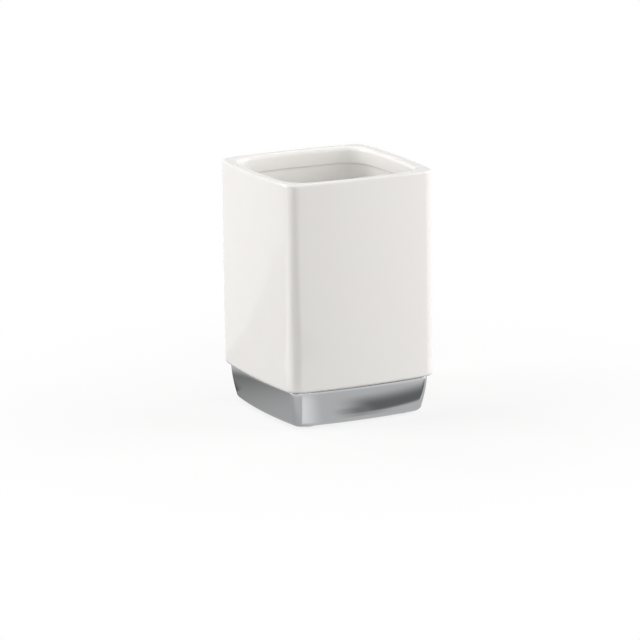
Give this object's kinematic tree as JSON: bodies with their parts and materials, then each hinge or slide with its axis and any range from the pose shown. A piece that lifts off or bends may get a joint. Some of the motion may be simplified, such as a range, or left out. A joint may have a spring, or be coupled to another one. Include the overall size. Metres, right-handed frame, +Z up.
{
  "type": "toothbrush holder",
  "caption": "Square glazed ceramic toothbrush holder with bowed sides and an open mouth, on a tapered satin chrome base",
  "frame": {"origin": "middle of the footprint, on the surface that the holder stands on", "axes": "+Z up through the open mouth; X and Y square to the sides"},
  "size_m": [0.07, 0.07, 0.1027],
  "materials": {
    "glaze": "glossy warm white glaze",
    "satin_chrome": "satin",
    "silicone": "cured silicone adhesive",
    "pad_rubber": "matt"
  },
  "bodies": {
    "root": {"ceramic_body": "glaze", "base_shell": "satin_chrome", "bond_bead": "silicone", "foot_pad_1": "pad_rubber", "foot_pad_2": "pad_rubber", "foot_pad_3": "pad_rubber", "foot_pad_4": "pad_rubber"}
  },
  "joints": []
}
